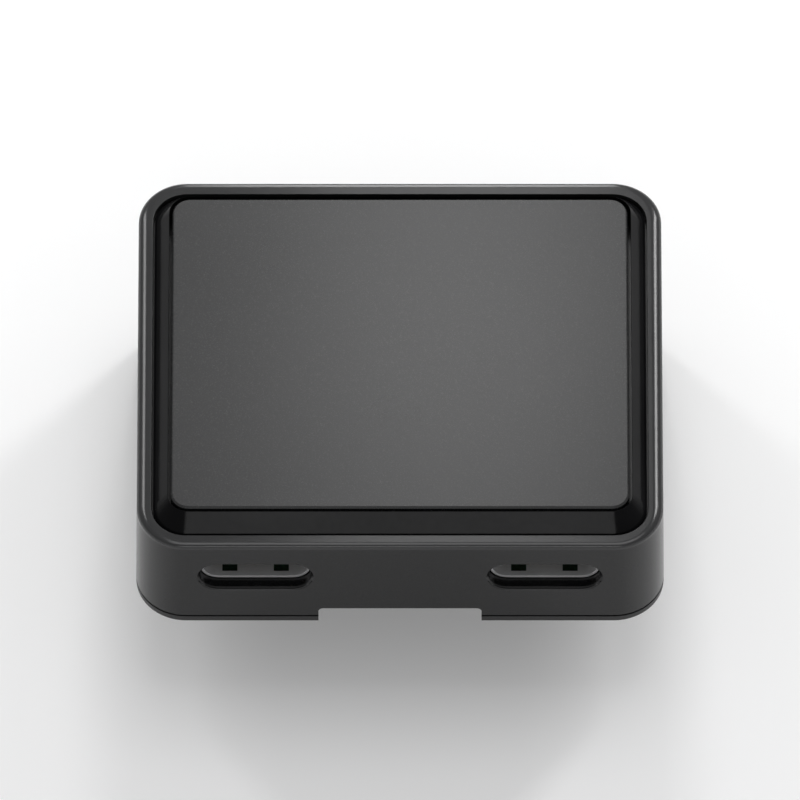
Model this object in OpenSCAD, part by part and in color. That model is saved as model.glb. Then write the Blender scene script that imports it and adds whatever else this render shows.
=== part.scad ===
// Two-port USB-C splitter adapter that hooks over the top edge of a flat handheld device.
// +Z points out of the glossy front panel, the two sockets face -Y, X runs across the sockets.
// The origin lies under the middle of the part, level with the end face of the hook.

/* [Body] */
// Width of the housing across both sockets, at its back edge
body_w = 42.1; // [38:0.1:60]
// Height of the housing from socket face to top, at its back edge
body_h = 36.2; // [34:0.1:50]
// Thickness of the housing from back face to rim
body_t = 10.1; // [9.8:0.1:14]
// Corner radius of the housing, seen from the front
corner_r = 4.0; // [3.2:0.1:6]
// How far each side leans in between the back and the rim
side_draft = 0.1; // [0:0.05:0.4]
// Thickness of the outer walls
wall = 1.4; // [1:0.1:1.55]
// Fillet on the outer edge of the rim
rim_fillet = 0.25; // [0.1:0.05:0.5]
// Fillet on the outer edge of the back
back_fillet = 0.3; // [0.1:0.05:0.5]
// Thickness of the plate that closes the back
back_t = 1.4; // [1:0.1:1.6]
// Height of the parting line above the back face
seam_h = 0.95; // [0.7:0.05:1.1]
// Width of the shadow gap along each parting line
seam_gap = 0.2; // [0.05:0.01:0.25]
// Depth of the shadow gap along each parting line
seam_depth = 0.4; // [0.1:0.05:0.5]
// Height of the inner lip that centres the two halves
seam_lip_h = 1.0; // [0.6:0.1:1.2]
// Thickness of the inner lip that centres the two halves
seam_lip_t = 0.8; // [0.6:0.1:1]
// Running gap between pieces that slide together at assembly
fit_clear = 0.08; // [0.04:0.01:0.12]

/* [Front] */
// Width of the flat rim lip
lip_w = 1.15; // [0.9:0.05:1.4]
// Width of the fine groove between lip and bezel
groove_w = 0.17; // [0.1:0.01:0.25]
// Width of the sloping bezel
bezel_w = 1.15; // [1:0.05:1.5]
// Depth of the channel that the bezel sits in, below the rim
bezel_seat = 1.0; // [0.95:0.05:1.05]
// How far the foot of the slope lies below the rim
bezel_foot = 0.13; // [0.05:0.01:0.2]
// How far the top of the bezel lies below the panel
bezel_drop = 0.1; // [0.02:0.01:0.2]
// Fine gap between bezel and panel
panel_gap = 0.27; // [0.1:0.01:0.4]
// Height of the panel above the rim
panel_rise = 1.56; // [1:0.02:1.6]
// Thickness of the panel
panel_t = 1.0; // [0.8:0.05:1.1]
// Corner radius of the panel
panel_r = 1.4; // [1.2:0.1:3]
// Bevel along the panel's upper edge
panel_bevel = 0.15; // [0.05:0.01:0.3]
// Thickness of the adhesive sheet under the panel
tape_t = 0.15; // [0.1:0.01:0.25]
// How far the adhesive sheet stays inside the panel's edge
tape_inset = 0.8; // [0.5:0.1:2]
// Thickness of the tray that carries the panel
tray_t = 1.3; // [1:0.05:1.4]

/* [Back notch] */
// Width of the notch in the back edge of the socket face
notch_w = 13.0; // [10:0.1:14]
// Depth of the notch
notch_d = 1.85; // [1.5:0.05:1.9]
// Length of the notch along the back
notch_len = 6.5; // [4:0.1:8]
// Rounding of the notch's inner corners
notch_r = 0.4; // [0.2:0.05:0.6]
// Wall around the notch, inside the housing
notch_wall = 1.2; // [1:0.05:1.3]

/* [Sockets] */
// Distance from each side of the housing to the middle of the socket beside it
port_side = 9.55; // [9.2:0.05:10.5]
// Depth of the socket centres below the rim
port_drop = 4.05; // [4:0.05:4.4]
// Width of the socket's mouth
port_w = 8.34; // [8.3:0.01:8.4]
// Height of the socket's mouth
port_h = 2.56; // [2.5:0.01:2.6]
// Sheet thickness of the socket's metal shell
port_skin = 0.2; // [0.15:0.01:0.25]
// Length of the socket's metal shell
port_len = 7.3; // [6.8:0.1:8]
// How far the shell's mouth lies behind the housing's face
port_inset = 1.1; // [0.9:0.05:1.4]
// Gap between shell and housing
port_clear = 0.08; // [0.05:0.01:0.1]
// Chamfer around each opening of the housing
port_chamfer = 0.2; // [0.1:0.05:0.4]
// Distance between the two spring windows in each wide wall of the shell
window_span = 4.1; // [3.4:0.1:4.6]
// Width of a spring window
window_w = 1.2; // [0.8:0.1:1.6]
// Length of a spring window
window_len = 1.5; // [1:0.1:1.8]
// Distance from the shell's mouth to its spring windows
window_in = 0.5; // [0.4:0.05:0.8]
// Width of the socket's tongue
tongue_w = 6.69; // [6.6:0.01:6.8]
// Thickness of the socket's tongue
tongue_t = 0.7; // [0.65:0.01:0.75]
// How far the tongue's tip lies inside the mouth
tongue_inset = 0.6; // [0.4:0.05:1]
// Length of the thicker foot of the tongue
tongue_foot = 1.4; // [1:0.1:2]
// Thickness of the thicker foot of the tongue
tongue_foot_t = 1.3; // [1.1:0.05:1.5]
// Length of the block that closes the shell at the back
tongue_block = 1.2; // [0.8:0.1:1.6]
// Thickness of the steel plate inside the tongue
midplate_t = 0.16; // [0.1:0.01:0.2]
// Radius of the latch notch on each side of the steel plate
latch_r = 0.4; // [0.3:0.05:0.5]
// Distance from the steel plate's tip to its latch notches
latch_in = 1.6; // [1:0.1:2]
// How far the steel plate's tip lies inside the tongue's tip
plate_inset = 0.3; // [0.2:0.05:0.4]
// Width of the shell's legs along the socket
leg_w = 1.2; // [0.8:0.1:1.4]
// Distance from the shell's mouth to the front pair of legs
leg_front = 3.1; // [2.8:0.1:3.8]
// How far the legs come out under the board
leg_out = 0.2; // [0.1:0.05:0.3]

/* [Contacts] */
// Number of contacts on each side of a connector
contact_n = 12; // [8:1:12]
// Distance between neighbouring contacts
contact_pitch = 0.5; // [0.4:0.01:0.5]
// Width of one contact
contact_w = 0.25; // [0.15:0.01:0.3]
// Thickness of one socket contact
contact_t = 0.03; // [0.02:0.01:0.05]
// Length of the bare stretch of a socket contact
contact_len = 3.0; // [2:0.1:3.3]

/* [Hook] */
// Height of the hook, from the face that sits on the device to the top
hook_h = 11.5; // [11.4:0.05:14]
// Corner radius of the hook beside the plug
hook_r = 1.6; // [1.6:0.05:2.4]
// Distance from the back face to the middle of the plug
plug_reach = 6.95; // [5:0.05:9]
// Material under the plug
under_plug = 1.0; // [1:0.05:1.5]
// Thickness of the cap that closes the hook's end
cap_t = 0.9; // [0.7:0.05:0.95]
// Height of the plinth under the rear cover that the hook is joined to
plinth_h = 0.4; // [0.2:0.05:0.6]
// Chamfer around the hook's end
cap_chamfer = 0.6; // [0.2:0.05:0.8]
// Width of the passage between hook and housing
pass_w = 16.0; // [12:0.5:20]
// Height of the passage between hook and housing
pass_h = 5.0; // [4:0.1:5.5]
// Distance between the passage and the top wall
pass_top = 0.4; // [0.2:0.05:0.6]
// Corner radius of the passage
pass_r = 1.0; // [0.5:0.1:1.5]

/* [Plug] */
// Width of the plug's metal shell
plug_w = 8.25; // [8.2:0.01:8.3]
// Height of the plug's metal shell
plug_h = 2.4; // [2.3:0.01:2.4]
// Length of the plug outside the hook
plug_len = 6.65; // [6.2:0.05:7]
// Length of the plug's shell inside the hook
plug_root = 2.6; // [2.2:0.05:3]
// Sheet thickness of the plug's metal shell
plug_skin = 0.25; // [0.2:0.01:0.3]
// Chamfer on the plug's tip
plug_chamfer = 0.2; // [0.1:0.01:0.24]
// How far the insulator lies inside the plug's tip
plug_inset = 0.3; // [0.1:0.05:0.5]
// Width of the plug's cavity
cavity_w = 7.0; // [6.9:0.01:7.1]
// Height of the plug's cavity
cavity_h = 1.0; // [0.96:0.01:1.1]
// Depth of the plug's cavity
cavity_depth = 5.4; // [5:0.1:6]
// Thickness of one plug contact
beam_t = 0.1; // [0.06:0.01:0.12]
// How far the plug contacts lie behind the insulator's mouth
beam_inset = 0.5; // [0.3:0.05:1]
// Length of the contact tails on the plug board
beam_tail = 0.8; // [0.5:0.05:1]
// Thickness of the side latch springs
spring_t = 0.2; // [0.1:0.01:0.22]
// Length of the side latch springs
spring_len = 3.2; // [2:0.1:4]
// Size of the latch nose on a side spring
spring_nose = 0.12; // [0.05:0.01:0.15]
// Width of the moulded block around the plug's root
mould_w = 11.0; // [10:0.1:12]
// Height of the moulded block above the middle of the plug
mould_up = 2.0; // [1.8:0.1:2.6]

/* [Boards] */
// Thickness of the main board
board_t = 1.0; // [0.8:0.05:1.05]
// Gap between the main board and the housing's walls
board_gap = 0.35; // [0.3:0.05:0.8]
// Radius of the posts that carry the main board
post_r = 1.4; // [1:0.1:1.5]
// Distance from each side of the housing to the posts
post_side = 4.05; // [4:0.05:4.5]
// Distance from the socket face, and from the top, to the posts
post_end = 12.15; // [12:0.05:13]
// Width of the ribs that hold the sockets down
rib_w = 2.0; // [1:0.1:3]
// Width of the plug board
plug_board_w = 18.0; // [15:0.5:24]
// Height of the plug board
plug_board_h = 6.8; // [6.4:0.1:7]
// Thickness of the plug board
plug_board_t = 0.8; // [0.76:0.01:0.8]
// Gap between the plug's shell and the plug board
plug_gap = 0.4; // [0.2:0.05:0.6]
// Width of the rails that grip the plug board
rail_w = 1.2; // [0.8:0.1:1.6]
// How far the rails lie inside the ends of the plug board
rail_inset = 0.4; // [0:0.1:1]

/* [Ribbon] */
// Width of the ribbon between the two boards
ribbon_w = 10.0; // [6:0.5:12]
// Thickness of the ribbon
ribbon_t = 0.15; // [0.1:0.01:0.2]
// Bend radius of the ribbon at its outer face
ribbon_r = 0.9; // [0.6:0.05:1.2]
// Gap between the plug contacts and the ribbon socket beside them
link_gap = 0.2; // [0.1:0.05:0.4]
// Distance between the ribbon's outer face and the passage's upper edge
ribbon_room = 1.4; // [1:0.1:1.5]
// Depth of the ribbon sockets
link_d = 2.0; // [1.5:0.1:2.2]
// Height of the ribbon sockets
link_h = 1.0; // [0.7:0.05:1.1]
// How far each ribbon socket is wider than the ribbon
link_extra = 2.0; // [1:0.1:3]

/* [Components] */
// Side of the controller chip
chip_s = 5.0; // [3:0.1:7]
// Thickness of the controller chip
chip_t = 0.9; // [0.5:0.05:1.2]
// Side of the power switch chip
switch_s = 3.5; // [2:0.1:4]
// Thickness of the power switch chip
switch_t = 0.8; // [0.5:0.05:1]
// Distance of the power switch chip from the board's middle
switch_x = 9.5; // [8:0.1:11]
// Side of the power coil
coil_s = 4.0; // [3:0.1:5]
// Height of the power coil
coil_h = 2.0; // [1:0.1:2.4]
// Length of a small component
small_l = 1.6; // [1:0.1:1.6]
// Width of a small component
small_w = 0.8; // [0.5:0.05:0.8]
// Height of a small capacitor
cap_h = 0.8; // [0.4:0.05:1]
// Height of a small resistor
res_h = 0.45; // [0.3:0.05:0.6]
// Distance between neighbouring small components
small_pitch = 2.0; // [1.6:0.1:2.4]
// Number of small components in a row
small_n = 6; // [3:1:7]
// Distance of the row of capacitors from the board's middle
cap_row_y = 7.5; // [6:0.1:9]
// Distance of the row of resistors from the board's middle
res_row_y = 5.5; // [4.5:0.1:7]

/* [Hidden] */
$fn = 64;

// Clearance between pieces that fit closely
slack = 0.02;
// How far each cut runs on past the surface that it opens
past = 1;

half_w = body_w / 2;
half_h = body_h / 2;
z_plug = under_plug + plug_h / 2;
z_back = z_plug + plug_reach;
z_floor = z_back + back_t;
z_seam = z_back + seam_h;
z_rim = z_back + body_t;
z_panel = z_rim + panel_rise;
z_seat = z_rim - bezel_seat;
z_tray = z_panel - panel_t - tape_t;
z_notch = z_back + notch_d;
z_plinth = z_back - plinth_h;
y_seat = half_h - hook_h;
y_tip = y_seat - plug_len;

// Distances inward from the housing's outline
in_lip = side_draft + lip_w;
in_bezel = in_lip + groove_w;
in_bezel_end = in_bezel + bezel_w;
in_panel = in_bezel_end + panel_gap;
in_step = in_panel + tray_t / 2;
bezel_top = z_panel - bezel_drop;
bezel_slope = (bezel_top - (z_rim - bezel_foot)) / bezel_w;
// The slope runs on below the rim in the corners, where the channel is wider
bezel_skirt = 0.5;

// Sockets
port_x = half_w - port_side;
y_hole = side_draft + wall - half_h + slack;
z_port = z_rim - port_drop;
shell_w = port_w + 2 * port_skin;
shell_h = port_h + 2 * port_skin;
y_mouth = port_inset - half_h;
y_port_end = y_mouth + port_len;
y_tongue = y_mouth + tongue_inset;
y_block = y_port_end - port_skin - tongue_block;

// Boards
z_board = z_port - shell_h / 2;
board_hw = half_w - wall - board_gap;
board_hh = half_h - wall - board_gap;
board_r = corner_r - wall;
plug_board_y = y_seat + plug_root + plug_gap;
plug_board_end = plug_board_y + plug_board_h;
z_plug_board = z_plug + plug_board_t / 2;
rail_x = plug_board_w / 2 - rail_inset - rail_w / 2;

// Ribbon and passage
pass_y = half_h - wall - pass_top - pass_h;
ribbon_y = pass_y + pass_h - ribbon_room;
link_x = ribbon_w / 2 + link_extra / 2;
y_link = plug_board_y + beam_tail + link_gap + link_d / 2;
ribbon_foot = ribbon_y - ribbon_r - y_link;

// Outline with round corners: half width, low and high edge, and the corner radii at each edge
module outline(hw, ya, yb, ra, rb) {
    ym = (ya + yb) / 2;
    translate([-hw, ya + ra]) square([2 * hw, yb - rb - ya - ra]);
    translate([-(hw - ra), ya]) square([2 * (hw - ra), ym - ya]);
    translate([-(hw - rb), ym]) square([2 * (hw - rb), yb - ym]);
    for (s = [-1, 1]) {
        translate([s * (hw - ra), ya + ra]) circle(r = ra);
        translate([s * (hw - rb), yb - rb]) circle(r = rb);
    }
}

// Slab with round corners between two heights
module slab(hw, ya, yb, ra, rb, z0, z1) {
    translate([0, 0, z0]) linear_extrude(height = z1 - z0) outline(hw, ya, yb, ra, rb);
}

// One straight stretch of a swept profile, with the outward side turned to the angle
module run(p, angle, length) {
    translate([p.x, p.y, 0]) rotate([0, 0, angle]) rotate([90, 0, 0]) linear_extrude(height = length) children();
}

// One quarter turn of a swept profile
module turn(p, angle, r) {
    translate([p.x, p.y, 0]) rotate([0, 0, angle]) rotate_extrude(angle = 90) translate([r, 0]) children();
}

// Profile swept round an outline. The profile's x is 0 on the outline and negative inside it
module sweep_outline(hw, ya, yb, ra, rb) {
    run([hw, yb - rb], 0, yb - rb - ya - ra) children();
    run([-(hw - rb), yb], 90, 2 * (hw - rb)) children();
    run([-hw, ya + ra], 180, yb - rb - ya - ra) children();
    run([hw - ra, ya], 270, 2 * (hw - ra)) children();
    turn([hw - rb, yb - rb], 0, rb) children();
    turn([-(hw - rb), yb - rb], 90, rb) children();
    turn([-(hw - ra), ya + ra], 180, ra) children();
    turn([hw - ra, ya + ra], 270, ra) children();
}

// Connector outline with half-round ends, in the XZ plane
module stadium(w, h) {
    square([w - h, h], center = true);
    for (s = [-1, 1]) translate([s * (w - h) / 2, 0]) circle(d = h);
}

// Bar with a connector outline, from y0 to y1, about a centre line
module bar(x, z, w, h, y0, y1) {
    translate([x, y1, z]) rotate([90, 0, 0]) linear_extrude(height = y1 - y0) stadium(w, h);
}

// Connector outline that narrows by g on every side between y0 (narrow) and y1 (full size)
module flare(x, z, w, h, g, y0, y1) {
    s = (w - h) / 2;
    translate([x, y1, z]) rotate([90, 0, 0]) {
        for (k = [-1, 1]) translate([k * s, 0, 0]) cylinder(h = y1 - y0, r1 = h / 2, r2 = h / 2 - g);
        translate([-s, 0, 0]) rotate([0, 90, 0]) rotate([0, 0, 90]) linear_extrude(height = 2 * s)
            polygon([[-h / 2, 0], [h / 2, 0], [h / 2 - g, y1 - y0], [g - h / 2, y1 - y0]]);
    }
}

// Box between two corners
module block(a, b) {
    translate(a) cube(b - a);
}

// Row of equal contacts across x, between two corners of one contact
module contact_row(x, y0, y1, z0, z1) {
    for (i = [0 : contact_n - 1]) {
        cx = x + (i - (contact_n - 1) / 2) * contact_pitch;
        block([cx - contact_w / 2, y0, z0], [cx + contact_w / 2, y1, z1]);
    }
}

// Section of the front housing: wall, rim lip and bezel channel
module front_section() {
    polygon([
        [0, z_seam], [-side_draft, z_rim - rim_fillet], [-side_draft - rim_fillet, z_rim], [-in_lip, z_rim],
        [-in_lip, z_seat], [-corner_r, z_seat], [-corner_r, z_seat - tray_t],
        [-side_draft - wall, z_seat - tray_t], [-wall, z_seam]
    ]);
    translate([-side_draft - rim_fillet, z_rim - rim_fillet]) circle(r = rim_fillet);
}

// Cut that forms the back notch, along y from the socket face
module notch_cut(depth) {
    translate([0, depth - half_h, 0]) rotate([90, 0, 0]) linear_extrude(height = depth + past) {
        translate([-notch_w / 2, z_back - past]) square([notch_w, notch_d + past - notch_r]);
        translate([notch_r - notch_w / 2, z_back]) square([notch_w - 2 * notch_r, notch_d]);
        for (s = [-1, 1]) translate([s * (notch_w / 2 - notch_r), z_notch - notch_r]) circle(r = notch_r);
    }
}

module front_housing() {
    tray_r = panel_r - tray_t / 2;
    color([0.16, 0.165, 0.17]) difference() {
        union() {
            sweep_outline(half_w, -half_h, half_h, corner_r, corner_r) front_section();
            block([corner_r - half_w, corner_r - half_h, z_seat - tray_t], [half_w - corner_r, half_h - corner_r, z_seat]);
            // Raised tray that carries the panel
            slab(half_w - in_panel, in_panel - half_h, half_h - in_panel, panel_r, panel_r, z_seat - tray_t / 2, z_tray);
        }
        // Hollow behind the tray, with a rib left over each socket
        difference() {
            slab(half_w - in_step, in_step - half_h, half_h - in_step, tray_r, tray_r, z_seam, z_tray - tray_t);
            for (s = [-1, 1]) block(
                [s * port_x - rib_w / 2, -half_h, z_port + shell_h / 2],
                [s * port_x + rib_w / 2, y_port_end, z_tray]
            );
        }
        for (s = [-1, 1]) {
            bar(s * port_x, z_port, shell_w + 2 * port_clear, shell_h + 2 * port_clear, -half_h - past, y_hole);
            mirror([0, 1, 0]) flare(
                s * port_x, z_port, shell_w + 2 * (port_clear + port_chamfer), shell_h + 2 * (port_clear + port_chamfer),
                port_chamfer, half_h - side_draft / 2 - port_chamfer, half_h - side_draft / 2
            );
        }
        notch_cut(wall + fit_clear);
    }
}

// Section of the rear cover: outer edge, shadow gap, inner lip and plate
module rear_section() {
    lip_a = wall + fit_clear;
    lip_b = lip_a + seam_lip_t;
    polygon([
        [-back_fillet, z_back], [0, z_back + back_fillet], [0, z_seam - seam_gap], [-seam_depth, z_seam - seam_gap],
        [-seam_depth, z_seam], [-lip_a, z_seam], [-lip_a, z_seam + seam_lip_h], [-lip_b, z_seam + seam_lip_h],
        [-lip_b, z_floor], [-corner_r, z_floor], [-corner_r, z_back]
    ]);
    intersection() {
        translate([-back_fillet, z_back + back_fillet]) circle(r = back_fillet);
        translate([-back_fillet, z_back]) square(back_fillet);
    }
}

module rear_cover() {
    color([0.14, 0.145, 0.15]) difference() {
        union() {
            sweep_outline(half_w, -half_h, half_h, corner_r, corner_r) rear_section();
            block([corner_r - half_w, corner_r - half_h, z_back], [half_w - corner_r, half_h - corner_r, z_floor]);
            // Plinth that the hook is joined to
            slab(half_w, y_seat, half_h, hook_r, corner_r, z_plinth, z_back + back_fillet);
            // Roof and walls of the notch
            block(
                [-notch_w / 2 - notch_wall, wall + fit_clear - half_h, z_back + back_t / 2],
                [notch_w / 2 + notch_wall, notch_len + notch_wall - half_h, z_notch + notch_wall]
            );
            // Posts under the main board
            for (sx = [-1, 1], sy = [-1, 1]) {
                translate([sx * (half_w - post_side), sy * (half_h - post_end), z_back + back_t / 2])
                    cylinder(h = z_board - board_t - z_back - back_t / 2, r = post_r);
            }
        }
        notch_cut(notch_len);
        slab(pass_w / 2, pass_y, pass_y + pass_h, pass_r, pass_r, z_plinth - past, z_floor + past);
    }
}

// Section of the hook's wall, with the shadow gap under the plinth
module hook_section() {
    polygon([
        [0, z_plug], [0, z_plinth - seam_gap], [-seam_depth, z_plinth - seam_gap], [-seam_depth, z_plinth],
        [-wall, z_plinth], [-wall, z_plug]
    ]);
}

module hook_housing() {
    color([0.14, 0.145, 0.15]) difference() {
        union() {
            sweep_outline(half_w, y_seat, half_h, hook_r, corner_r) hook_section();
            // Rails that hold the plug board down
            for (s = [-1, 1]) {
                block(
                    [s * rail_x - rail_w / 2, y_seat + wall / 2, z_plug_board],
                    [s * rail_x + rail_w / 2, half_h - wall / 2, z_plinth]
                );
            }
        }
        bar(0, z_plug, plug_w + 2 * slack, plug_h + 2 * slack, y_seat - past, y_seat + wall + past);
    }
}

// Section of the hook's cap: chamfered edge, wall and shadow gap
module cap_section() {
    polygon([
        [-cap_chamfer, 0], [0, cap_chamfer], [0, z_plug - seam_gap], [-seam_depth, z_plug - seam_gap],
        [-seam_depth, z_plug], [-wall, z_plug], [-wall, 0]
    ]);
}

module hook_cap() {
    edge = (cap_chamfer + wall) / 2;
    color([0.14, 0.145, 0.15]) difference() {
        union() {
            sweep_outline(half_w, y_seat, half_h, hook_r, corner_r) cap_section();
            slab(half_w - edge, y_seat + edge, half_h - edge, hook_r - edge, corner_r - edge, 0, cap_t);
            // Rails under the plug board
            for (s = [-1, 1]) {
                block(
                    [s * rail_x - rail_w / 2, plug_board_y, cap_t / 2],
                    [s * rail_x + rail_w / 2, half_h - wall / 2, z_plug_board - plug_board_t]
                );
            }
        }
        bar(0, z_plug, plug_w + 2 * slack, plug_h + 2 * slack, y_seat - past, y_seat + wall + past);
    }
}

// Section of the bezel: the slope runs on past the lip and is trimmed by the channel's outline
module bezel_section() {
    foot = z_rim - bezel_foot - bezel_slope * bezel_skirt;
    polygon([
        [0, z_seat], [0, foot], [-bezel_skirt - bezel_w, bezel_top], [-bezel_skirt - bezel_w, z_seat]
    ]);
}

module bezel_frame() {
    hw = half_w - in_bezel + bezel_skirt;
    hh = half_h - in_bezel + bezel_skirt;
    r = panel_r + panel_gap + bezel_w + bezel_skirt;
    color([0.05, 0.05, 0.055]) intersection() {
        sweep_outline(hw, -hh, hh, r, r) bezel_section();
        slab(half_w - in_bezel, in_bezel - half_h, half_h - in_bezel, corner_r - in_bezel, corner_r - in_bezel, z_seat, z_panel);
    }
}

// Section of the panel's edge with its bevel
module panel_section() {
    polygon([
        [0, z_panel - panel_t], [0, z_panel - panel_bevel], [-panel_bevel, z_panel], [-panel_r, z_panel],
        [-panel_r, z_panel - panel_t]
    ]);
}

module front_panel() {
    hw = half_w - in_panel;
    hh = half_h - in_panel;
    color([0.3, 0.305, 0.31]) {
        sweep_outline(hw, -hh, hh, panel_r, panel_r) panel_section();
        block([panel_r - hw, panel_r - hh, z_panel - panel_t], [hw - panel_r, hh - panel_r, z_panel]);
    }
}

module panel_tape() {
    edge = in_panel + tape_inset;
    r = panel_r - tape_inset / 2;
    color([0.2, 0.2, 0.2]) slab(half_w - edge, edge - half_h, half_h - edge, r, r, z_tray, z_tray + tape_t);
}

// Legs of a socket's shell: x and y centre of each, from the socket's own axis
module leg_places() {
    for (s = [-1, 1], y = [y_mouth + leg_front, y_port_end - leg_w]) {
        translate([s * (shell_w - port_skin) / 2, y + leg_w / 2, 0]) children();
    }
}

module port_shell(x) {
    color([0.72, 0.72, 0.73]) {
        difference() {
            bar(x, z_port, shell_w, shell_h, y_mouth, y_port_end);
            bar(x, z_port, port_w, port_h, y_mouth - past, y_port_end - port_skin);
            // Windows of the springs that touch the plug
            for (s = [-1, 1]) block(
                [x + s * window_span / 2 - window_w / 2, y_mouth + window_in, z_port - shell_h / 2 - past],
                [x + s * window_span / 2 + window_w / 2, y_mouth + window_in + window_len, z_port + shell_h / 2 + past]
            );
        }
        translate([x, 0, 0]) leg_places() block(
            [-port_skin / 2, -leg_w / 2, z_board - board_t - leg_out],
            [port_skin / 2, leg_w / 2, z_port]
        );
    }
}

module port_tongue(x) {
    color([0.07, 0.07, 0.075]) difference() {
        union() {
            bar(x, z_port, port_w - 2 * slack, port_h - 2 * slack, y_block, y_port_end - port_skin);
            block([x - tongue_w / 2, y_tongue, z_port - tongue_t / 2], [x + tongue_w / 2, y_block, z_port + tongue_t / 2]);
            block(
                [x - tongue_w / 2, y_block - tongue_foot, z_port - tongue_foot_t / 2],
                [x + tongue_w / 2, y_block, z_port + tongue_foot_t / 2]
            );
        }
        block(
            [x - tongue_w / 2 - past, y_tongue + plate_inset, z_port - midplate_t / 2],
            [x + tongue_w / 2 + past, y_block - tongue_foot, z_port + midplate_t / 2]
        );
    }
}

module port_midplate(x) {
    y_latch = y_tongue + plate_inset + latch_in;
    color([0.7, 0.7, 0.72]) difference() {
        block(
            [x - tongue_w / 2, y_tongue + plate_inset, z_port - midplate_t / 2],
            [x + tongue_w / 2, y_block - tongue_foot, z_port + midplate_t / 2]
        );
        for (s = [-1, 1]) translate([x + s * tongue_w / 2, y_latch, z_port - midplate_t]) cylinder(h = 2 * midplate_t, r = latch_r);
    }
}

module port_contacts(x) {
    y0 = y_block - tongue_foot - contact_len;
    z1 = z_port + tongue_t / 2;
    z2 = z_port - tongue_t / 2;
    color([0.85, 0.68, 0.32]) {
        contact_row(x, y0, y0 + contact_len, z1, z1 + contact_t);
        contact_row(x, y0, y0 + contact_len, z2 - contact_t, z2);
    }
}

module left_port_shell() {
    port_shell(-port_x);
}

module right_port_shell() {
    port_shell(port_x);
}

module left_port_tongue() {
    port_tongue(-port_x);
}

module right_port_tongue() {
    port_tongue(port_x);
}

module left_port_contacts() {
    port_contacts(-port_x);
}

module right_port_contacts() {
    port_contacts(port_x);
}

module left_port_midplate() {
    port_midplate(-port_x);
}

module right_port_midplate() {
    port_midplate(port_x);
}

module main_board() {
    color([0.05, 0.22, 0.12]) difference() {
        slab(board_hw, -board_hh, board_hh, board_r, board_r, z_board - board_t, z_board);
        // Slots for the legs of both sockets
        for (s = [-1, 1]) translate([s * port_x, 0, 0]) leg_places() block(
            [-port_skin / 2 - port_clear, -leg_w / 2 - port_clear, z_board - board_t - past],
            [port_skin / 2 + port_clear, leg_w / 2 + port_clear, z_board + past]
        );
    }
}

module controller_chip() {
    color([0.06, 0.06, 0.065]) block([-chip_s / 2, -chip_s / 2, z_board], [chip_s / 2, chip_s / 2, z_board + chip_t]);
}

module power_switch() {
    color([0.06, 0.06, 0.065]) block(
        [switch_x - switch_s / 2, -switch_s / 2, z_board],
        [switch_x + switch_s / 2, switch_s / 2, z_board + switch_t]
    );
}

module power_coil() {
    color([0.3, 0.3, 0.31]) block(
        [-switch_x - coil_s / 2, -coil_s / 2, z_board],
        [coil_s / 2 - switch_x, coil_s / 2, z_board + coil_h]
    );
}

// Row of small two-ended components across the board
module small_row(y, h) {
    for (i = [0 : small_n - 1]) {
        cx = (i - (small_n - 1) / 2) * small_pitch;
        block([cx - small_w / 2, y - small_l / 2, z_board], [cx + small_w / 2, y + small_l / 2, z_board + h]);
    }
}

module capacitors() {
    color([0.55, 0.45, 0.33]) small_row(cap_row_y, cap_h);
}

module resistors() {
    color([0.08, 0.08, 0.08]) small_row(-res_row_y, res_h);
}

module plug_shell() {
    y_end = y_seat + plug_root;
    color([0.75, 0.75, 0.76]) difference() {
        union() {
            flare(0, z_plug, plug_w, plug_h, plug_chamfer, y_tip, y_tip + plug_chamfer);
            bar(0, z_plug, plug_w, plug_h, y_tip + plug_chamfer, y_end);
        }
        bar(0, z_plug, plug_w - 2 * plug_skin, plug_h - 2 * plug_skin, y_tip - past, y_end + past);
    }
}

module plug_insulator() {
    gap = plug_skin + slack;
    y_open = y_tip + plug_inset;
    color([0.08, 0.08, 0.085]) difference() {
        bar(0, z_plug, plug_w - 2 * gap, plug_h - 2 * gap, y_open, y_seat + plug_root);
        block(
            [-cavity_w / 2, y_open - past, z_plug - cavity_h / 2],
            [cavity_w / 2, y_open + cavity_depth, z_plug + cavity_h / 2]
        );
        // Channels for the contacts behind the cavity
        for (s = [-1, 1]) {
            zc = z_plug + s * (plug_board_t + beam_t) / 2;
            block(
                [-contact_n * contact_pitch / 2, y_open, zc - beam_t / 2],
                [contact_n * contact_pitch / 2, y_seat + plug_root + past, zc + beam_t / 2]
            );
        }
    }
}

module plug_contacts() {
    y0 = y_tip + plug_inset + beam_inset;
    z0 = plug_board_t / 2;
    color([0.85, 0.68, 0.32]) {
        contact_row(0, y0, plug_board_y + beam_tail, z_plug + z0, z_plug + z0 + beam_t);
        contact_row(0, y0, plug_board_y + beam_tail, z_plug - z0 - beam_t, z_plug - z0);
    }
}

module plug_springs() {
    y0 = y_tip + plug_inset + beam_inset;
    color([0.7, 0.7, 0.72]) for (s = [-1, 1]) {
        xa = cavity_w / 2 - spring_t;
        mirror([s < 0 ? 1 : 0, 0, 0]) {
            block([xa, y0, z_plug - cavity_h / 4], [cavity_w / 2, y0 + spring_len, z_plug + cavity_h / 4]);
            translate([xa, y0 + spring_nose * 2, z_plug - cavity_h / 4]) cylinder(h = cavity_h / 2, r = spring_nose);
        }
    }
}

module plug_moulding() {
    color([0.1, 0.1, 0.105]) difference() {
        block([-mould_w / 2, y_seat + wall, cap_t], [mould_w / 2, plug_board_y, z_plug + mould_up]);
        bar(0, z_plug, plug_w + 2 * slack, plug_h + 2 * slack, y_seat, plug_board_y + past);
    }
}

module plug_board() {
    color([0.05, 0.22, 0.12]) block(
        [-plug_board_w / 2, plug_board_y, z_plug_board - plug_board_t],
        [plug_board_w / 2, plug_board_end, z_plug_board]
    );
}

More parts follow.
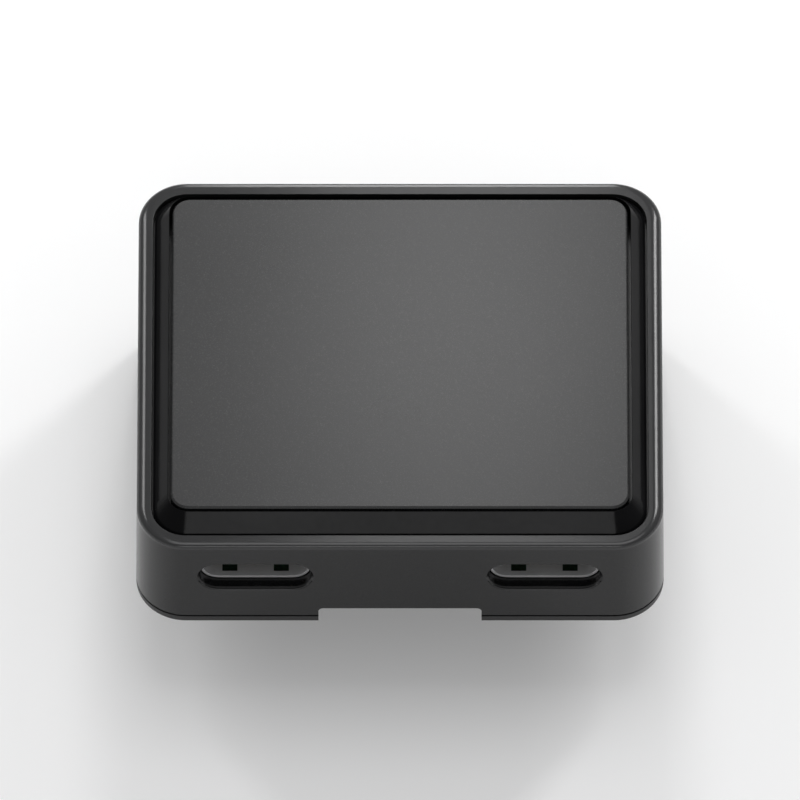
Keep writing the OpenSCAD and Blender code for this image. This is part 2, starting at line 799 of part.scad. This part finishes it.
// Quarter bend of the ribbon in the YZ plane, about its own centre
module ribbon_bend(start) {
    rotate([0, 0, start]) intersection() {
        difference() {
            circle(r = ribbon_r);
            circle(r = ribbon_r - ribbon_t);
        }
        square(ribbon_r + past);
    }
}

module link_ribbon() {
    z_low = z_plug_board;
    z_high = z_board - board_t;
    yc = ribbon_y - ribbon_r;
    color([0.75, 0.45, 0.12]) translate([-ribbon_w / 2, 0, 0]) rotate([90, 0, 90]) linear_extrude(height = ribbon_w) {
        translate([yc - ribbon_foot, z_low]) square([ribbon_foot, ribbon_t]);
        translate([yc, z_low + ribbon_r]) ribbon_bend(270);
        translate([ribbon_y - ribbon_t, z_low + ribbon_r]) square([ribbon_t, z_high - z_low - 2 * ribbon_r]);
        translate([yc, z_high - ribbon_r]) ribbon_bend(0);
        translate([yc - ribbon_foot, z_high - ribbon_t]) square([ribbon_foot, ribbon_t]);
    }
}

// Socket that grips one end of the ribbon: z of the board face, and the side it stands on
module link_socket(z, side) {
    color([0.85, 0.83, 0.76]) translate([0, y_link, z]) mirror([0, 0, side < 0 ? 1 : 0]) difference() {
        block([-link_x, slack - link_d / 2, 0], [link_x, link_d / 2, link_h]);
        block([-ribbon_w / 2 - slack, -slack, -past], [ribbon_w / 2 + slack, link_d, ribbon_t + slack]);
    }
}

module lower_link_socket() {
    link_socket(z_plug_board, 1);
}

module upper_link_socket() {
    link_socket(z_board - board_t, -1);
}

front_housing();
rear_cover();
hook_housing();
hook_cap();
bezel_frame();
front_panel();
panel_tape();
left_port_shell();
left_port_tongue();
left_port_contacts();
left_port_midplate();
right_port_shell();
right_port_tongue();
right_port_contacts();
right_port_midplate();
main_board();
controller_chip();
power_switch();
power_coil();
capacitors();
resistors();
plug_shell();
plug_insulator();
plug_contacts();
plug_springs();
plug_moulding();
plug_board();
link_ribbon();
lower_link_socket();
upper_link_socket();
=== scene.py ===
"""Looks of the two-port splitter adapter.

Procedural materials on the CAD nodes, soft studio light and a pale floor. Lengths are in metres.
"""

import math

import bpy
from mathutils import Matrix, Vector


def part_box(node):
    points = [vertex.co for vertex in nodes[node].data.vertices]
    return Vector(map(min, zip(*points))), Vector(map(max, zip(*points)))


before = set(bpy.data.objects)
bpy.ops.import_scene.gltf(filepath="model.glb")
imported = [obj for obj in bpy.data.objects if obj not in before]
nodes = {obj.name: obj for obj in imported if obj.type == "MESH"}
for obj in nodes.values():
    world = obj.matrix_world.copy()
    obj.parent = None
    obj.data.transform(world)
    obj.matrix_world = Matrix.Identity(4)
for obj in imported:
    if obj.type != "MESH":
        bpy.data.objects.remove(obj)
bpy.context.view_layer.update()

WHITE = (1.0, 1.0, 1.0)

# The Mix node's sockets for colours, which share their names with its other types
MIX_FACTOR = 0
MIX_FIRST = 6
MIX_SECOND = 7
MIX_RESULT = 2

# Most values of a noise texture lie between these
NOISE_LOW = 0.3
NOISE_HIGH = 0.7

COAT_ROUGH = 0.05
BEVEL_SAMPLES = 4


# Materials


class Shader:
    """A Principled material with helpers for object-space patterns."""

    def __init__(self, name, color, rough, metallic=0.0, specular=0.5, coat=0.0):
        self.mat = bpy.data.materials.new(name)
        self.mat.use_nodes = True
        self.tree = self.mat.node_tree
        self.tree.nodes.clear()
        self.out = self.add("ShaderNodeOutputMaterial")
        self.bsdf = self.add("ShaderNodeBsdfPrincipled")
        self.link(self.bsdf.outputs["BSDF"], self.out.inputs["Surface"])
        self.bsdf.inputs["Base Color"].default_value = (*color, 1.0)
        self.bsdf.inputs["Roughness"].default_value = rough
        self.bsdf.inputs["Metallic"].default_value = metallic
        self.bsdf.inputs["Specular IOR Level"].default_value = specular
        self.bsdf.inputs["Coat Weight"].default_value = coat
        self.bsdf.inputs["Coat Roughness"].default_value = COAT_ROUGH
        self.color = color
        self.coord = self.add("ShaderNodeTexCoord")
        self.normal = None

    def add(self, kind):
        return self.tree.nodes.new(kind)

    def link(self, start, end):
        self.tree.links.new(start, end)

    def noise(self, scale, detail=3.0, stretch=(1.0, 1.0, 1.0)):
        place = self.add("ShaderNodeMapping")
        place.inputs["Scale"].default_value = stretch
        self.link(self.coord.outputs["Object"], place.inputs["Vector"])
        tex = self.add("ShaderNodeTexNoise")
        tex.inputs["Scale"].default_value = scale
        tex.inputs["Detail"].default_value = detail
        self.link(place.outputs["Vector"], tex.inputs["Vector"])
        return tex.outputs["Fac"]

    def spread(self, fac, low, high, start=NOISE_LOW, end=NOISE_HIGH):
        """fac from start to end becomes low to high."""
        node = self.add("ShaderNodeMapRange")
        node.inputs["From Min"].default_value = start
        node.inputs["From Max"].default_value = end
        node.inputs["To Min"].default_value = low
        node.inputs["To Max"].default_value = high
        self.link(fac, node.inputs["Value"])
        return node.outputs["Result"]

    def calc(self, operation, first, second=None):
        """One step of arithmetic. first is a socket, and second a number or a socket."""
        node = self.add("ShaderNodeMath")
        node.operation = operation
        self.link(first, node.inputs[0])
        if isinstance(second, float):
            node.inputs[1].default_value = second
        elif second is not None:
            self.link(second, node.inputs[1])
        return node.outputs["Value"]

    def mix(self, fac, first, second, blend="MIX"):
        """Blends two colours. first is a colour or a socket, and second a colour."""
        node = self.add("ShaderNodeMix")
        node.data_type = "RGBA"
        node.blend_type = blend
        if isinstance(first, tuple):
            node.inputs[MIX_FIRST].default_value = (*first, 1.0)
        else:
            self.link(first, node.inputs[MIX_FIRST])
        node.inputs[MIX_SECOND].default_value = (*second, 1.0)
        self.link(fac, node.inputs[MIX_FACTOR])
        return node.outputs[MIX_RESULT]

    def tint(self, fac, other, amount=1.0):
        """Mixes the base colour towards another colour where fac is high."""
        mixed = self.mix(self.spread(fac, 0.0, amount), self.color, other)
        self.link(mixed, self.bsdf.inputs["Base Color"])

    def vary_rough(self, fac, low, high):
        self.link(self.spread(fac, low, high), self.bsdf.inputs["Roughness"])

    def soften(self, radius):
        """Rounds sharp edges by this radius, for their highlights."""
        bevel = self.add("ShaderNodeBevel")
        bevel.samples = BEVEL_SAMPLES
        bevel.inputs["Radius"].default_value = radius
        self.normal = bevel.outputs["Normal"]
        self.link(self.normal, self.bsdf.inputs["Normal"])

    def bump(self, fac, height, strength=1.0):
        """Adds relief over the edges and relief already there. strength is a number or a mask."""
        node = self.add("ShaderNodeBump")
        if isinstance(strength, float):
            node.inputs["Strength"].default_value = strength
        else:
            self.link(strength, node.inputs["Strength"])
        node.inputs["Distance"].default_value = height
        self.link(fac, node.inputs["Height"])
        if self.normal:
            self.link(self.normal, node.inputs["Normal"])
        self.normal = node.outputs["Normal"]
        self.link(self.normal, self.bsdf.inputs["Normal"])

    def glow_to_view(self, strength):
        """Adds this much white, which only camera, mirror and glass rays see."""
        path = self.add("ShaderNodeLightPath")
        seen = path.outputs["Is Camera Ray"]
        for ray in ("Is Glossy Ray", "Is Transmission Ray"):
            seen = self.calc("MAXIMUM", seen, path.outputs[ray])
        glow = self.add("ShaderNodeEmission")
        self.link(self.calc("MULTIPLY", seen, strength), glow.inputs["Strength"])
        total = self.add("ShaderNodeAddShader")
        self.link(self.bsdf.outputs["BSDF"], total.inputs[0])
        self.link(glow.outputs["Emission"], total.inputs[1])
        self.link(total.outputs["Shader"], self.out.inputs["Surface"])


def moulded(name, color, rough, specular=0.4, grain=6000.0, height=2.0e-6, edge=4.0e-5):
    """Moulded plastic: fine eroded grain and faint flow marks. Edges stay sharp where edge is 0."""
    s = Shader(name, color, rough, specular=specular)
    flow = s.noise(scale=90.0, detail=2.0, stretch=(1.0, 0.35, 1.0))
    fine = s.noise(scale=grain, detail=2.0)
    paler = [c * 1.35 + 0.002 for c in color]
    s.tint(flow, paler, amount=0.6)
    s.vary_rough(fine, low=rough - 0.05, high=rough + 0.07)
    if edge:
        s.soften(edge)
    s.bump(fine, height, strength=0.6)
    return s.mat


def metal(name, color, rough, across=(1.0, 12.0, 12.0), grain=2500.0, edge=0.0, metallic=1.0):
    """Drawn sheet metal: fine brush lines and faint blotches. Edges stay sharp where edge is 0."""
    s = Shader(name, color, rough, metallic=metallic)
    lines = s.noise(scale=grain, detail=3.0, stretch=across)
    cloud = s.noise(scale=350.0, detail=2.0)
    darker = [c * 0.8 for c in color]
    s.tint(cloud, darker, amount=0.5)
    s.vary_rough(lines, low=rough - 0.08, high=rough + 0.1)
    if edge:
        s.soften(edge)
    s.bump(lines, height=1.5e-6, strength=0.5)
    return s.mat


def board_lacquer(name):
    """Green solder lacquer with the faint relief of the tracks under it."""
    s = Shader(name, color=(0.005, 0.016, 0.009), rough=0.3, coat=0.4)
    tracks = s.add("ShaderNodeTexBrick")
    tracks.inputs["Scale"].default_value = 700.0
    tracks.inputs["Mortar Size"].default_value = 0.04
    s.link(s.coord.outputs["Object"], tracks.inputs["Vector"])
    s.tint(tracks.outputs["Fac"], other=(0.009, 0.032, 0.017))
    s.bump(tracks.outputs["Fac"], height=8.0e-6, strength=0.5)
    return s.mat


def gloss_panel(name):
    """Smoky satin-gloss panel: fine dark pigment under a smooth face, with a faint ripple."""
    s = Shader(name, color=(0.015, 0.0152, 0.0157), rough=0.26)
    s.tint(s.noise(scale=60.0, detail=2.0), other=(0.018, 0.0182, 0.0188))
    s.vary_rough(s.noise(scale=14000.0, detail=1.0), low=0.24, high=0.28)
    s.bump(s.noise(scale=220.0, detail=1.0), height=1.0e-6, strength=0.3)
    return s.mat


def gloss_bezel(name):
    """Piano-black bezel with hairline swirl marks in its gloss."""
    s = Shader(name, color=(0.0035, 0.0035, 0.0039), rough=0.14, specular=0.05)
    swirl = s.noise(scale=2600.0, detail=3.0, stretch=(1.0, 0.2, 1.0))
    s.tint(s.noise(scale=120.0, detail=2.0), other=(0.007, 0.007, 0.0075))
    s.vary_rough(swirl, low=0.1, high=0.17)
    s.soften(6.0e-5)
    s.bump(swirl, height=8.0e-7, strength=0.4)
    return s.mat


def crown_height(s, place, outline, corner):
    """Height of the rim lip, whose outer part falls away towards the rounded outline."""
    start = 0.00305
    reach = 0.0009
    radius = 0.00096
    flatter_along_y = 0.9
    low, high = outline
    past_corner = s.add("ShaderNodeCombineXYZ")
    for i, (axis, part) in enumerate((("X", 1.0), ("Y", flatter_along_y))):
        straight = (high[i] - low[i]) / 2.0 - corner
        past = s.calc("SUBTRACT", s.calc("ABSOLUTE", place.outputs[axis]), straight)
        past = s.calc("MAXIMUM", past, 0.0)
        s.link(s.calc("MULTIPLY", past, part), past_corner.inputs[axis])
    length = s.add("ShaderNodeVectorMath")
    length.operation = "LENGTH"
    s.link(past_corner.outputs["Vector"], length.inputs[0])
    outer = s.calc("MAXIMUM", s.calc("SUBTRACT", length.outputs["Value"], start), 0.0)
    outer = s.calc("MINIMUM", outer, reach)
    return s.calc("MULTIPLY", s.calc("MULTIPLY", outer, outer), -0.5 / radius)


def front_shell(name):
    """Satin black housing. Its rim lip is smoother and crowned by its bump, and its lighter dark
    grey is painted sheen that stands in for the light the lip catches.
    """
    black = (0.006, 0.0061, 0.0064)
    # Painted sheen: the rim lip's lighter grey stands in for the highlight the lip catches.
    lip_sheen_grey = (0.03, 0.0303, 0.0312)
    blotch = (0.82, 0.82, 0.83)
    rim = 0.01925
    lip_from = rim - 0.0005
    lip_full = rim - 0.0003
    lip_smoother = 0.08
    corner = 0.004
    s = Shader(name, black, rough=0.25, specular=0.36)
    place = s.add("ShaderNodeSeparateXYZ")
    s.link(s.coord.outputs["Object"], place.inputs["Vector"])
    lip = s.spread(place.outputs["Z"], low=0.0, high=1.0, start=lip_from, end=lip_full)

    cloud = s.spread(s.noise(scale=90.0, detail=2.0, stretch=(1.0, 1.0, 0.4)), low=0.0, high=1.0)
    # The lip mask lays the painted-sheen grey over the black on the rim lip.
    color = s.mix(cloud, s.mix(lip, black, lip_sheen_grey), blotch, blend="MULTIPLY")
    s.link(color, s.bsdf.inputs["Base Color"])

    fine = s.noise(scale=9000.0, detail=2.0)
    rough = s.spread(fine, low=0.2, high=0.28)
    rough = s.calc("SUBTRACT", rough, s.calc("MULTIPLY", lip, lip_smoother))
    s.link(rough, s.bsdf.inputs["Roughness"])

    s.soften(9.0e-5)
    crown = crown_height(s, place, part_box("front_housing"), corner)
    s.bump(crown, height=1.0, strength=lip)
    s.bump(fine, height=1.6e-6, strength=0.5)
    return s.mat


DARK = (0.009, 0.0092, 0.0095)
EPOXY = (0.012, 0.012, 0.013)
GOLD = (0.83, 0.62, 0.27)
PLATE_STEEL = (0.55, 0.55, 0.56)
ACROSS_Y = (12.0, 1.0, 12.0)

looks = {
    "front_housing": front_shell("front_shell_satin"),
    "rear_cover": moulded("rear_cover_satin", DARK, 0.4, grain=8000.0, edge=8.0e-5),
    "hook_housing": moulded("hook_satin", DARK, 0.4, grain=8000.0, edge=8.0e-5),
    "hook_cap": moulded("hook_cap_satin", (0.008, 0.0082, 0.0085), 0.42, grain=8000.0, edge=8.0e-5),
    "bezel_frame": gloss_bezel("bezel_gloss"),
    "front_panel": gloss_panel("panel_gloss"),
    "panel_tape": moulded(
        "tape_felt", (0.06, 0.06, 0.06), 0.9, specular=0.2, grain=3000.0, height=1.0e-5, edge=0.0
    ),
    "port_shell": metal(
        "socket_steel", (0.66, 0.66, 0.67), 0.42, grain=1500.0, edge=5.0e-5, metallic=0.6
    ),
    "port_tongue": moulded("socket_plastic", EPOXY, 0.45),
    "port_contacts": metal("contact_gold", GOLD, 0.22, across=ACROSS_Y),
    "port_midplate": metal("plate_steel", PLATE_STEEL, 0.3),
    "plug_shell": metal("plug_steel", (0.68, 0.68, 0.69), 0.22, grain=1500.0, edge=5.0e-5),
    "plug_insulator": moulded("plug_plastic", (0.014, 0.014, 0.015), 0.45),
    "plug_contacts": metal("plug_gold", GOLD, 0.24, across=ACROSS_Y),
    "plug_springs": metal("spring_steel", PLATE_STEEL, 0.25),
    "plug_moulding": moulded(
        "moulding_nylon", (0.02, 0.02, 0.021), 0.5, height=3.0e-6, edge=6.0e-5
    ),
    "main_board": board_lacquer("board_lacquer"),
    "plug_board": board_lacquer("plug_board_lacquer"),
    "controller_chip": moulded(
        "chip_epoxy", EPOXY, 0.55, specular=0.35, grain=12000.0, height=3.0e-6, edge=5.0e-5
    ),
    "power_switch": moulded(
        "switch_epoxy", EPOXY, 0.55, specular=0.35, grain=12000.0, height=3.0e-6, edge=5.0e-5
    ),
    "power_coil": moulded(
        "coil_ferrite", (0.07, 0.07, 0.075), 0.6, grain=5000.0, height=8.0e-6, edge=1.0e-4
    ),
    "capacitors": moulded(
        "capacitor_ceramic", (0.32, 0.22, 0.12), 0.5, grain=5000.0, height=3.0e-6, edge=5.0e-5
    ),
    "resistors": moulded("resistor_glaze", (0.015, 0.015, 0.016), 0.35, specular=0.5, grain=5000.0),
    "link_ribbon": moulded(
        "ribbon_polyimide", (0.42, 0.17, 0.02), 0.3, specular=0.5, grain=2000.0, edge=0.0
    ),
    "link_socket": moulded("link_socket_nylon", (0.62, 0.57, 0.46), 0.5, height=3.0e-6),
}

for name, obj in nodes.items():
    kind = name
    for side in ("left_", "right_", "lower_", "upper_"):
        kind = kind.removeprefix(side)
    for slot in obj.material_slots:
        slot.material = looks[kind]


# Floor, light and camera


def pale_floor():
    bpy.ops.mesh.primitive_plane_add(size=6.0, location=(0.0, 0.0, 0.0))
    floor = bpy.context.object
    floor.name = "floor"
    s = Shader("floor_paper", color=(0.86, 0.86, 0.86), rough=0.9, specular=0.2)
    s.tint(s.noise(scale=6.0, detail=2.0), other=(0.84, 0.84, 0.845))
    s.bump(s.noise(scale=1800.0, detail=3.0), height=8.0e-6, strength=0.3)
    s.glow_to_view(strength=0.12)
    floor.data.materials.append(s.mat)


def soft_world(strength):
    world = bpy.data.worlds.new("studio")
    bpy.context.scene.world = world
    world.use_nodes = True
    back = world.node_tree.nodes["Background"]
    back.inputs["Color"].default_value = (*WHITE, 1.0)
    back.inputs["Strength"].default_value = strength


def look_at(obj, place, target):
    obj.location = place
    obj.rotation_euler = (Vector(target) - Vector(place)).to_track_quat("-Z", "Y").to_euler()
    bpy.context.scene.collection.objects.link(obj)


def lamp(name, place, target, width, height, watts):
    data = bpy.data.lights.new(name, "AREA")
    data.shape = "RECTANGLE"
    data.size = width
    data.size_y = height
    data.energy = watts
    data.color = WHITE
    look_at(bpy.data.objects.new(name, data), place, target)


def camera(elevation, distance, target, width):
    """Long lens, for a nearly flat view. elevation is in degrees, width is what the frame shows."""
    data = bpy.data.cameras.new("camera")
    data.sensor_width = 36.0
    data.lens = data.sensor_width * distance / width
    data.clip_end = 50.0
    turn = math.radians(elevation)
    away = Vector((0.0, -math.cos(turn), math.sin(turn)))
    obj = bpy.data.objects.new("camera", data)
    look_at(obj, Vector(target) + away * distance, target)
    bpy.context.scene.camera = obj


# Each lamp but the first stands where one kind of face mirrors it to the camera.
# Name, place, target, width, height, watts
LAMPS = (
    ("key_overhead", (0.04, 0.12, 0.75), (0.0, 0.0, 0.01), 0.38, 0.38, 1.1),
    ("panel_glow", (0.005, 0.088, 0.142), (0.005, 0.0, 0.0208), 0.026, 0.035, 0.0108),
    ("left_edge", (-0.286, 0.323, 0.361), (0.0, 0.0, 0.02), 0.08, 0.25, 0.45),
    ("right_edge", (0.286, 0.323, 0.361), (0.0, 0.0, 0.02), 0.08, 0.25, 0.75),
    ("back_rim", (0.003, 0.226, 0.157), (0.003, 0.0175, 0.019), 0.04, 0.12, 0.145),
    ("front_fill", (0.0, -0.5, 0.175), (0.0, 0.0, 0.015), 0.25, 0.1, 0.43),
)

pale_floor()
soft_world(strength=0.44)
for row in LAMPS:
    lamp(*row)
camera(elevation=54.0, distance=2.0, target=(0.0, 0.0, 0.01434), width=0.064)

view = bpy.context.scene.view_settings
view.view_transform = "Standard"
